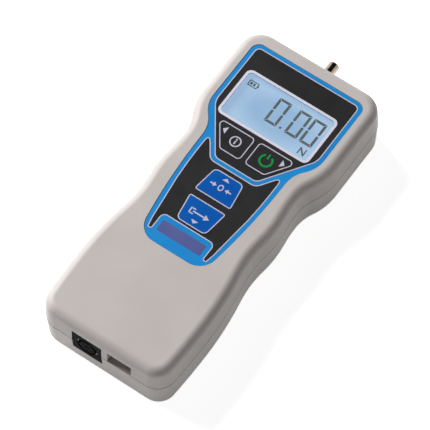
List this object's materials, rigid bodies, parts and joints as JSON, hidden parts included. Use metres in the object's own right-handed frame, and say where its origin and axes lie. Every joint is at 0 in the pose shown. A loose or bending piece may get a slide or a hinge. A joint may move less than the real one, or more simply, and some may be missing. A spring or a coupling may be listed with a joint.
{
  "type": "digital force gauge",
  "caption": "Hand-held digital force gauge: waisted case with a lit numeric display, press keys, a sprung load shaft at the head and sockets in the base.",
  "frame": {"origin": "middle of the flat back face of the case", "axes": "+X to the right of the display, +Y along the load shaft towards its free end, +Z out of the display"},
  "size_m": [0.066, 0.164, 0.027],
  "materials": {
    "case_plastic": "fine moulded texture",
    "label_film": "printed film",
    "key_black": "printed film",
    "key_blue": "printed film",
    "switch_plastic": "moulded",
    "clear_lens": "polished",
    "lcd_glass": "lit panel",
    "light_guide": "frosted",
    "frame_white": "moulded",
    "board_green": "solder mask",
    "chip_black": "moulded",
    "ribbon_amber": "film",
    "screw_zinc": "zinc plated",
    "steel_ground": "ground",
    "alloy": "milled",
    "brass_bush": "turned",
    "can_tin": "tinned",
    "gauge_foil": "foil on film",
    "socket_black": "moulded",
    "nickel": "plated",
    "battery_wrap": "shrink wrap",
    "plate_silver": "satin"
  },
  "bodies": {
    "case": {"front_cover": "case_plastic", "rear_cover": "case_plastic", "case_screws": "screw_zinc", "keypad_overlay": "label_film", "display_window": "clear_lens", "key_switches": "switch_plastic", "lcd_panel": "lcd_glass", "backlight": "light_guide", "lcd_frame": "frame_white", "main_board": "board_green", "board_chips": "chip_black", "buzzer": "chip_black", "io_board": "board_green", "io_ribbon": "ribbon_amber", "amplifier_board": "board_green", "amplifier_spacers": "brass_bush", "shield_can": "can_tin", "board_screws": "screw_zinc", "chassis_plate": "alloy", "mount_bushes": "brass_bush", "load_cell": "alloy", "strain_gauges": "gauge_foil", "load_cell_screws": "screw_zinc", "overload_stop": "steel_ground", "shaft_bush": "switch_plastic", "output_connector": "socket_black", "connector_shield": "nickel", "usb_socket": "nickel", "usb_tongue": "socket_black", "battery_cells": "battery_wrap", "battery_tray": "socket_black", "battery_tabs": "nickel", "rear_plate": "plate_silver"},
    "shaft": {"load_shaft": "steel_ground", "load_cell_nose": "alloy", "shaft_nut": "screw_zinc"},
    "info_button": {"info_key": "key_black", "info_plunger": "switch_plastic"},
    "power_button": {"power_key": "key_black", "power_plunger": "switch_plastic"},
    "zero_button": {"zero_key": "key_blue", "zero_plunger": "switch_plastic"},
    "send_button": {"send_key": "key_blue", "send_plunger": "switch_plastic"}
  },
  "joints": [
    {"name": "shaft_slide", "type": "slide", "parent": "case", "child": "shaft", "axis": [0, 1, 0], "range_m": [-0.00025, 0.00025], "stiffness_N_per_m": 200000},
    {"name": "info_press", "type": "slide", "parent": "case", "child": "info_button", "axis": [0, 0, -1], "range_m": [0, 0.0004], "stiffness_N_per_m": 5000},
    {"name": "power_press", "type": "slide", "parent": "case", "child": "power_button", "axis": [0, 0, -1], "range_m": [0, 0.0004], "stiffness_N_per_m": 5000},
    {"name": "zero_press", "type": "slide", "parent": "case", "child": "zero_button", "axis": [0, 0, -1], "range_m": [0, 0.0004], "stiffness_N_per_m": 5000},
    {"name": "send_press", "type": "slide", "parent": "case", "child": "send_button", "axis": [0, 0, -1], "range_m": [0, 0.0004], "stiffness_N_per_m": 5000}
  ]
}
